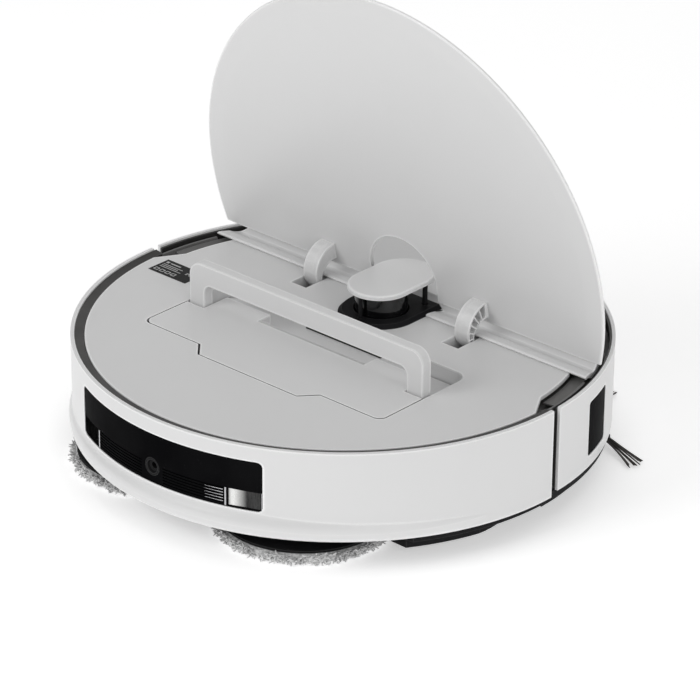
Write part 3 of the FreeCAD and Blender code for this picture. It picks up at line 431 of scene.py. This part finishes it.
def make_battery_wrap():
    look = Look("battery_wrap", Coat_Weight=0.5)
    wrinkle = look.noise(70, 4, 0.6, look.stretched((0.4, 1, 1)))
    colour = look.ramp(wrinkle, (0.3, (0.02, 0.06, 0.19)), (0.7, (0.03, 0.09, 0.27)))
    return look.finish(colour, look.span(wrinkle, 0.2, 0.4), look.bump(wrinkle, 0.3 * MM, 0.4))


def make_tank_plastic():
    """Smoked, faintly cloudy plastic of the bin and the tank."""
    look = Look("tank_plastic", Coat_Weight=0.5, Coat_Roughness=0.08, Subsurface_Weight=0.15)
    cloud = look.noise(22, 4)
    colour = look.ramp(cloud, (0.3, (0.17, 0.19, 0.22)), (0.7, (0.27, 0.30, 0.33)))
    scuff = look.noise(300, 4, 0.7)
    normal = look.bump(scuff, 0.02 * MM, 0.3, look.rounded(0.5 * MM))
    return look.finish(colour, look.span(scuff, 0.16, 0.32), normal)


def make_label_film():
    look = Look("label_film", Coat_Weight=0.05, Specular_IOR_Level=0.1)
    grain = look.noise(700, 3, 0.6)
    colour = look.ramp(grain, (0.3, (0.006, 0.006, 0.006)), (0.7, (0.011, 0.011, 0.011)))
    return look.finish(colour, look.span(grain, 0.35, 0.5), look.bump(grain, 0.01 * MM, 0.4))


def make_label_ink():
    """Pale printed ink, thin enough for the film to show through in places."""
    look = Look("label_ink")
    wear = look.noise(1500, 3, 0.7)
    colour = look.ramp(wear, (0.25, (0.30, 0.30, 0.30)), (0.6, (0.62, 0.62, 0.62)))
    return look.finish(colour, look.span(wear, 0.5, 0.7), look.bump(wear, 0.01 * MM, 0.3))


def make_floor_paint():
    look = Look("floor_paint", Specular_IOR_Level=0.1, Emission_Color=(1, 1, 1, 1))
    look.shader.inputs["Emission Strength"].default_value = 0.45
    patch = look.noise(1.5, 3)
    colour = look.ramp(patch, (0.3, (0.90, 0.90, 0.90)), (0.7, (0.93, 0.93, 0.93)))
    return look.finish(colour, look.span(patch, 0.8, 0.9), None)


def make_floor():
    half = 4.0
    height = -0.3 * MM
    corners = [(-half, -half), (half, -half), (half, half), (-half, half)]
    mesh = bpy.data.meshes.new("floor")
    mesh.from_pydata([(x, y, height) for x, y in corners], [], [(0, 1, 2, 3)])
    floor = bpy.data.objects.new("floor", mesh)
    mesh.materials.append(make_floor_paint())
    scene.collection.objects.link(floor)


LOOKS = {
    "white_plastic": make_white_plastic(),
    "charcoal_plastic": make_charcoal_plastic(),
    "black_plastic": make_black_plastic(),
    "gloss_black": make_gloss_black(),
    "contact_metal": make_contact_metal(),
    "steel": make_steel(),
    "tyre_rubber": make_tyre_rubber(),
    "brush_rubber": make_brush_rubber(),
    "bristle": make_bristle(),
    "mop_fabric": make_mop_fabric(),
    "filter_paper": make_filter_paper(),
    "circuit": make_circuit(),
    "battery_wrap": make_battery_wrap(),
    "tank_plastic": make_tank_plastic(),
    "label_film": make_label_film(),
}
# Nodes whose finish differs from the others of their slot.
OWN_LOOKS = {"lidar_turret": make_turret_black(), "front_gutter": make_gutter_plastic()}


def dress_cad():
    for row in frame["record"]["subparts"]:
        node = frame["nodes"][row["node"]]
        for holder in node.material_slots:
            holder.material = OWN_LOOKS.get(row["node"], LOOKS[row["material_slot"]])


# ---- mesh helpers ------------------------------------------------------------------------------


def add_piece(name, mesh, slot, body, look=None, smooth=True):
    """A new piece, riding on a body, with the finish of one of the record's slots."""
    piece = bpy.data.objects.new(name, mesh)
    scene.collection.objects.link(piece)
    mesh.materials.append(look or LOOKS[slot])
    if smooth:
        mesh.shade_smooth()
    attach(piece, body)
    return piece


def strands_mesh(name, paths, radii, sides=5):
    """Round strands in one mesh. paths is (strand, point, 3), radii (strand, point)."""
    count, length, _ = paths.shape
    along = np.gradient(paths, axis=1)
    along /= np.linalg.norm(along, axis=2, keepdims=True) + 1e-12
    helper = np.where(np.abs(along[:, :1, 2:3]) < 0.8, [[[0, 0, 1.0]]], [[[1.0, 0, 0]]])
    across = np.cross(along, np.broadcast_to(helper, along.shape))
    across /= np.linalg.norm(across, axis=2, keepdims=True) + 1e-12
    other = np.cross(along, across)
    turn = np.arange(sides) * 2 * np.pi / sides
    ring = (
        across[:, :, None, :] * np.cos(turn)[None, None, :, None]
        + other[:, :, None, :] * np.sin(turn)[None, None, :, None]
    )
    points = paths[:, :, None, :] + ring * radii[:, :, None, None]
    tips = paths[:, [0, -1], :] + along[:, [0, -1], :] * (
        np.array([-0.6, 0.6])[None, :, None] * radii[:, [0, -1], None]
    )
    per_strand = length * sides
    start = np.arange(count)[:, None] * (per_strand + 2)
    faces = []
    k = np.arange(sides)
    after = (k + 1) % sides
    for j in range(length - 1):
        a = start + j * sides + k
        b = start + j * sides + after
        quads = np.stack([a, b, b + sides, a + sides], axis=2)
        faces.append(quads.reshape(-1, 4))
    first = np.broadcast_to(start + per_strand, (count, sides))
    last = first + 1
    low = np.stack([first, start + after, start + k], axis=2)
    top = start + (length - 1) * sides
    high = np.stack([last, top + k, top + after], axis=2)
    verts = np.concatenate([points.reshape(count, per_strand, 3), tips], axis=1)
    mesh = bpy.data.meshes.new(name)
    quads = [tuple(q) for q in np.concatenate(faces).tolist()]
    caps = [tuple(t) for t in np.concatenate([low, high]).reshape(-1, 3).tolist()]
    mesh.from_pydata(verts.reshape(-1, 3).tolist(), [], quads + caps)
    mesh.update()
    return mesh


def spun_mesh(name, outline, centre, steps, wobble):
    """A closed round body from (radius, height) points between two axis points, made uneven."""
    ring = outline[1:-1]
    verts = [(centre[0], centre[1], centre[2] + outline[0][1])]
    for i in range(steps):
        angle = 2 * math.pi * i / steps
        for radius, height in ring:
            reach = radius + wobble(angle, radius)
            verts.append(
                (
                    centre[0] + reach * math.cos(angle),
                    centre[1] + reach * math.sin(angle),
                    centre[2] + height,
                )
            )
    verts.append((centre[0], centre[1], centre[2] + outline[-1][1]))
    width = len(ring)
    last = len(verts) - 1
    faces = []
    for i in range(steps):
        here = 1 + i * width
        there = 1 + ((i + 1) % steps) * width
        faces.append((0, there, here))
        for j in range(width - 1):
            faces.append((here + j, there + j, there + j + 1, here + j + 1))
        faces.append((here + width - 1, there + width - 1, last))
    mesh = bpy.data.meshes.new(name)
    mesh.from_pydata(verts, [], faces)
    mesh.update()
    return mesh


def slab_mesh(name, rectangles, low, high):
    """Several flat rectangles (x0, y0, x1, y1) as thin slabs in one mesh."""
    verts, faces = [], []
    for x0, y0, x1, y1 in rectangles:
        at = len(verts)
        for z in (low, high):
            verts += [(x0, y0, z), (x1, y0, z), (x1, y1, z), (x0, y1, z)]
        for quad in (
            (3, 2, 1, 0),
            (4, 5, 6, 7),
            (0, 1, 5, 4),
            (1, 2, 6, 5),
            (2, 3, 7, 6),
            (3, 0, 4, 7),
        ):
            faces.append(tuple(at + q for q in quad))
    mesh = bpy.data.meshes.new(name)
    mesh.from_pydata(verts, [], faces)
    mesh.update()
    return mesh


# ---- mop pads ----------------------------------------------------------------------------------

PAD_STEPS = 160
TUFT_POINTS = 5
TUFT_RADII = np.array([0.50, 0.58, 0.58, 0.52, 0.38]) * MM
RIM_TUFTS = 2000
UNDER_TUFTS = 900
FLOOR_GAP = 0.55 * MM


def pile_paths(radius, count, low, high, inner, outer_lean):
    """Curling tufts around the middle of a pad, with their roots from inner to 1 of its radius."""
    angle = rng.uniform(0, 2 * np.pi, count)
    height = rng.uniform(low, high, count)
    root = radius * rng.uniform(inner, 1.0, count)
    length = rng.uniform(2.4, 4.4, count) * MM
    lean = rng.normal(0, 0.8, count)
    lift = rng.normal(outer_lean, 0.35, count)
    curl = rng.normal(0, 1.3, count)
    droop = rng.normal(0, 0.6, count)
    paths = np.zeros((count, TUFT_POINTS, 3))
    heading = angle + lean
    rise = lift
    spot = np.stack([root * np.cos(angle), root * np.sin(angle), height], axis=1)
    paths[:, 0] = spot
    parts = TUFT_POINTS - 1
    for i in range(1, TUFT_POINTS):
        step = length / parts
        flat = np.cos(rise) * step
        spot = spot + np.stack(
            [flat * np.cos(heading), flat * np.sin(heading), np.sin(rise) * step], axis=1
        )
        paths[:, i] = spot
        heading = heading + curl / parts
        rise = rise + droop / parts
    return paths


def make_mop_pad(side):
    low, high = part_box(f"mop_pad_{side}")
    centre = (low + high) / 2
    radius = (high.x - low.x) / 2
    thick = high.z - low.z
    outline = [
        (0, 0.9 * MM),
        (radius * 0.3, 0.8 * MM),
        (radius * 0.6, 0.9 * MM),
        (radius * 0.85, 1.0 * MM),
        (radius * 0.945, 1.3 * MM),
        (radius * 0.975, 2.4 * MM),
        (radius * 0.98, 3.9 * MM),
        (radius * 0.965, 5.4 * MM),
        (radius * 0.93, thick - 0.3 * MM),
        (radius * 0.6, thick - 0.2 * MM),
        (0, thick - 0.2 * MM),
    ]
    waves = [(rng.integers(5, 31), rng.uniform(0, 6.28), rng.uniform(0.1, 0.35)) for _ in range(7)]

    def wobble(angle, reach):
        share = (reach / radius) ** 6
        return sum(a * math.sin(n * angle + p) for n, p, a in waves) * MM * share

    at = (centre.x, centre.y, low.z)
    core = spun_mesh(f"mop_core_{side}", outline, at, PAD_STEPS, wobble)
    pad = add_piece(f"mop_core_{side}", core, "mop_fabric", f"mop_{side}")
    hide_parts(f"mop_pad_{side}")

    rim = pile_paths(radius * 0.985, RIM_TUFTS, 1.0 * MM, thick - 0.6 * MM, 0.95, -0.05)
    flat = radius * 0.95
    under = pile_paths(flat, UNDER_TUFTS, 0.9 * MM, 1.6 * MM, 0.05, -0.1)
    share = np.linalg.norm(under[:, 0, :2], axis=1) / flat
    spread = np.sqrt(rng.uniform(0.0, 1.0, UNDER_TUFTS)) / np.maximum(share, 1e-6)
    under[:, :, :2] += under[:, :1, :2] * (spread[:, None, None] - 1)
    paths = np.concatenate([rim, under])
    paths[:, :, 2] = np.clip(paths[:, :, 2], FLOOR_GAP, thick + 1.2 * MM)
    paths += np.array([centre.x, centre.y, low.z])
    radii = TUFT_RADII[None, :] * rng.uniform(0.75, 1.15, len(paths))[:, None]
    radii = np.minimum(radii, (paths[:, :, 2] - low.z) * 0.95)
    pile = strands_mesh(f"mop_pile_{side}", paths, radii, 5)
    tufts = add_piece(f"mop_pile_{side}", pile, "mop_fabric", f"mop_{side}")


# ---- side brush --------------------------------------------------------------------------------


ARM_TURNS = (-16.5, 114.0, 231.0)
BRISTLE_CLUMPS = 7
CLUMP_STRANDS = 5
BRISTLE_FAN = 6.4
BRISTLE_RADII = np.array([0.36, 0.36, 0.36, 0.35, 0.34, 0.32, 0.26]) * MM


def make_bristles():
    box_low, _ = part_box("side_brush_bristles")
    tip_floor = box_low.z + 0.6 * MM
    joint = [j for j in frame["joints"] if j["name"] == "side_brush_spin"][0]
    centre = Vector(joint["pos_m"])
    paths = []
    for arm_turn in ARM_TURNS:
        for clump in range(BRISTLE_CLUMPS):
            sideways = (clump / (BRISTLE_CLUMPS - 1) - 0.5) * 2 + random.uniform(-0.08, 0.08)
            spread = math.radians(arm_turn + sideways * BRISTLE_FAN)
            reach = random.uniform(56.5, 61.5) * MM
            for _ in range(CLUMP_STRANDS):
                start_r = random.uniform(20.5, 23.0) * MM
                start_z = random.uniform(4.6, 6.2) * MM
                start_off = (sideways * 2.2 + random.uniform(-0.5, 0.5)) * MM
                end_off = random.uniform(-0.7, 0.7) * MM
                length = reach - random.uniform(0, 2.5) * MM
                line = []
                for step in range(len(BRISTLE_RADII)):
                    t = step / (len(BRISTLE_RADII) - 1)
                    angle = math.radians(arm_turn) * (1 - t) + spread * t
                    along = start_r + (length - start_r) * t
                    off = start_off * (1 - t) + end_off * t
                    z = start_z + (tip_floor - start_z) * t**1.3
                    line.append(
                        (
                            centre.x + along * math.cos(angle) - off * math.sin(angle),
                            centre.y + along * math.sin(angle) + off * math.cos(angle),
                            max(z, tip_floor),
                        )
                    )
                paths.append(line)
    paths = np.array(paths)
    radii = np.broadcast_to(BRISTLE_RADII, paths.shape[:2])
    mesh = strands_mesh("bristles", paths, radii, 6)
    bristles = add_piece("bristles", mesh, "bristle", "side_brush")
    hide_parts("side_brush_bristles")


# ---- label -------------------------------------------------------------------------------------


def make_label_print():
    """A generic printed pattern: a dot and bar, short rules and a row of framed squares."""
    low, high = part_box("top_label")
    wide = high.x - low.x
    deep = high.y - low.y
    marks = []

    def mark(x0, y0, x1, y1):
        marks.append((low.x + wide * x0, low.y + deep * y0, low.x + wide * x1, low.y + deep * y1))

    mark(0.06, 0.76, 0.13, 0.88)
    mark(0.17, 0.79, 0.44, 0.85)
    for i, end in enumerate((0.58, 0.50, 0.62)):
        y = 0.64 - 0.10 * i
        mark(0.06, y, end, y + 0.035)
    for i in range(4):
        x = 0.06 + 0.15 * i
        mark(x, 0.12, x + 0.11, 0.15)
        mark(x, 0.27, x + 0.11, 0.30)
        mark(x, 0.15, x + 0.02, 0.27)
        mark(x + 0.09, 0.15, x + 0.11, 0.27)
    for i in range(5):
        for j in range(5):
            if (i * 3 + j * 2) % 5 < 3:
                x = 0.72 + 0.045 * i
                y = 0.50 + 0.08 * j
                mark(x, y, x + 0.036, y + 0.064)
    mesh = slab_mesh("label_print", marks, high.z - 0.005 * MM, high.z + 0.02 * MM)
    add_piece("label_print", mesh, "label_film", "chassis", make_label_ink(), smooth=False)


# ---- trim --------------------------------------------------------------------------------------


def soften(piece, width):
    """Round every edge of a piece."""
    rounding = piece.modifiers.new("rounding", "BEVEL")
    rounding.width = width
    rounding.segments = 3
    rounding.limit_method = "ANGLE"


SHADE_STRIP_ENDS = (-33 * MM, 32 * MM)
SHADE_STRIP_WIDTH = 2.0 * MM
CHANNEL_DEPTH = 10.6 * MM


def make_scoop_shade_strip():
    """A dark strip along the front of the handle's channel, seen under the handle: painted shade where the slot
    lies in shadow.
    """
    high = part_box("dust_box_plate")[1]
    front = high.y - 0.6 * MM
    floor = high.z - CHANNEL_DEPTH
    shade_strip = [(SHADE_STRIP_ENDS[0], front - SHADE_STRIP_WIDTH, SHADE_STRIP_ENDS[1], front)]
    mesh = slab_mesh("scoop_shade_strip", shade_strip, floor - 0.3 * MM, floor + 0.9 * MM)
    piece = add_piece("scoop_shade_strip", mesh, "tyre_rubber", "dust_box", smooth=False)
    soften(piece, 0.3 * MM)


def rim_loop(node, depth):
    """The outer edge of a node's flat top, in order, as points in metres."""
    mesh = node.data
    points = [node.matrix_world @ vert.co for vert in mesh.vertices]
    top = max(point.z for point in points) - depth
    first_at = {}
    merged = [first_at.setdefault(tuple(round(c, 6) for c in p), i) for i, p in enumerate(points)]
    sides = []
    for face in mesh.polygons:
        corners = [merged[i] for i in face.vertices]
        if face.normal.z < 0.9 or min(points[i].z for i in corners) < top:
            continue
        sides += zip(corners, corners[1:] + corners[:1])
    known = set(sides)
    after = {a: b for a, b in sides if (b, a) not in known}
    loops = []
    while after:
        loop = [next(iter(after))]
        while loop[-1] in after:
            loop.append(after.pop(loop[-1]))
        loops.append([points[i] for i in loop[:-1]])
    return max(loops, key=lambda loop: max(p.x for p in loop) - min(p.x for p in loop))


HANDLE_LEG_REAR = -38.9 * MM
PLATE_SIDE = 7 * MM
PLATE_BACK = 12 * MM
GAP_SHADE_SECTION = ((0.05, 1.1), (0.8, 1.1), (0.8, 0.25), (0.05, 0.25))


def make_plate_gap_shade():
    """A thin dark lip around the dust box behind its handle, in the gap to the deck: painted shade for the gap's
    shadow.
    """
    low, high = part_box("dust_box_plate")
    loop = rim_loop(frame["nodes"]["dust_box_plate"], 1.2 * MM)
    behind = []
    for point in loop:
        outside = abs(point.x) > high.x - PLATE_SIDE or point.y < low.y + PLATE_BACK
        behind.append(outside and point.y < HANDLE_LEG_REAR)
    first = [i for i in range(len(loop)) if behind[i] and not behind[i - 1]][0]
    line = []
    while behind[(first + len(line)) % len(loop)]:
        line.append(loop[(first + len(line)) % len(loop)])
    verts = []
    last = len(line) - 1
    for i, point in enumerate(line):
        way = (line[min(i + 1, last)] - line[max(i - 1, 0)]).normalized()
        out = Vector((way.y, -way.x, 0))
        for reach, drop in GAP_SHADE_SECTION:
            spot = point + out * reach * MM
            verts.append((spot.x, spot.y, high.z - drop * MM))
    faces = [(3, 2, 1, 0), tuple(4 * last + k for k in range(4))]
    for here in range(0, 4 * last, 4):
        for k in range(4):
            after = (k + 1) % 4
            faces.append((here + k, here + after, here + 4 + after, here + 4 + k))
    mesh = bpy.data.meshes.new("plate_gap_shade")
    mesh.from_pydata(verts, [], faces)
    mesh.update()
    add_piece("plate_gap_shade", mesh, "tyre_rubber", "dust_box", smooth=False)


def swept_mesh(name, bands):
    """Bands around the robot's middle, each a list of (turn, section of four points)."""
    verts, faces = [], []
    for band in bands:
        at = len(verts)
        for turn, section in band:
            for reach, height in section:
                verts.append((reach * math.cos(turn), reach * math.sin(turn), height))
        last = at + 4 * (len(band) - 1)
        quads = [(at, at + 1, at + 2, at + 3), (last + 3, last + 2, last + 1, last)]
        for here in range(at, last, 4):
            for k in range(4):
                after = (k + 1) % 4
                quads.append((here + after, here + k, here + 4 + k, here + 4 + after))
        backward = band[-1][0] < band[0][0]
        faces += [quad[::-1] for quad in quads] if backward else quads
    mesh = bpy.data.meshes.new(name)
    mesh.from_pydata(verts, [], faces)
    mesh.update()
    return mesh


def block_section(inner, outer, low, high):
    return [(inner, low), (outer, low), (outer, high), (inner, high)]


TO_REAR = -90
FRAME_BARS = ((18.05, 18.4), (26.0, 26.12))
FRAME_STEPS = 4


def make_contact_frames():
    """Thin upright metal bars on both sides of each charging contact."""
    low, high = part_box("charge_contacts")
    wall = -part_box("rear_window")[0].y
    section = block_section(
        wall - 0.3 * MM, wall + 0.2 * MM, low.z - 0.4 * MM, high.z + 0.4 * MM
    )
    bands = []
    for side in (1, -1):
        for start, end in FRAME_BARS:
            turns = [start + (end - start) * i / FRAME_STEPS for i in range(FRAME_STEPS + 1)]
            bands.append([(math.radians(TO_REAR + side * turn), section) for turn in turns])
    mesh = swept_mesh("contact_frames", bands)
    add_piece("contact_frames", mesh, "steel", "chassis", smooth=False)


TAIL_START = 72.5
TAIL_END = 84.0
TAIL_STEPS = 10
TAIL_INNER = 163.0 * MM
TAIL_OUTER = 165.9 * MM
SKIRT_DEEP = 8.0 * MM
SKIRT_SHALLOW = 14.2 * MM


def make_skirt_tails():
    """The deep part of the dark skirt, run out smoothly into the shallow part on each side."""
    bands = []
    for side in (1, -1):
        band = []
        for i in range(TAIL_STEPS + 1):
            share = i / TAIL_STEPS
            low = SKIRT_DEEP + (SKIRT_SHALLOW - SKIRT_DEEP) * (3 * share**2 - 2 * share**3)
            section = block_section(TAIL_INNER, TAIL_OUTER, low, SKIRT_SHALLOW + 1 * MM)
            turn = TAIL_START + (TAIL_END - TAIL_START) * share
            band.append((math.radians(TO_REAR + side * turn), section))
        bands.append(band)
    mesh = swept_mesh("skirt_tails", bands)
    add_piece("skirt_tails", mesh, "black_plastic", "chassis", smooth=False)


SHELF_SECTION = [(156.2, 73.4), (165.6, 74.4), (165.6, 75.5), (156.2, 74.3)]
SHELF_TURNS = range(5, 45, 2)


def make_gutter_shelves():
    """A sloping shelf in the wide part of the gutter, on each side of the front cover."""
    section = [(reach * MM, height * MM) for reach, height in SHELF_SECTION]
    right = [(math.radians(turn), section) for turn in SHELF_TURNS]
    left = [(math.pi - turn, section) for turn, _ in right]
    mesh = swept_mesh("gutter_shelves", [right, left])
    look = OWN_LOOKS["front_gutter"]
    add_piece("gutter_shelves", mesh, "charcoal_plastic", "chassis", look, smooth=False)


RIBS = 5
RIB_PITCH = 2 * MM
GLINT_STEPS = 8
GLINT_START = 13.5
GLINT_TURN = 4.2


def make_vent_glints():
    """Painted highlights on the vent ribs on the right: thin steel bars on the rib crests, widest beside the
    contact.
    """
    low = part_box("charge_contacts")[0].z
    wall = -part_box("rear_window")[0].y
    bands = []
    for rib in range(RIBS):
        height = low + (rib + 1) * RIB_PITCH
        band = []
        for step in range(GLINT_STEPS + 1):
            share = step / GLINT_STEPS
            half = (0.04 + 0.20 * share) * MM
            section = block_section(
                wall - 0.3 * MM, wall + 0.05 * MM, height - half, height + half
            )
            turn = TO_REAR + GLINT_START + GLINT_TURN * share
            band.append((math.radians(turn), section))
        bands.append(band)
    mesh = swept_mesh("vent_glints", bands)
    add_piece("vent_glints", mesh, "steel", "chassis", smooth=False)


make_camera()
make_lights()
make_floor()
dress_cad()
for side in ("left", "right"):
    make_mop_pad(side)
make_bristles()
make_label_print()
make_scoop_shade_strip()
make_plate_gap_shade()
make_contact_frames()
make_skirt_tails()
make_gutter_shelves()
make_vent_glints()
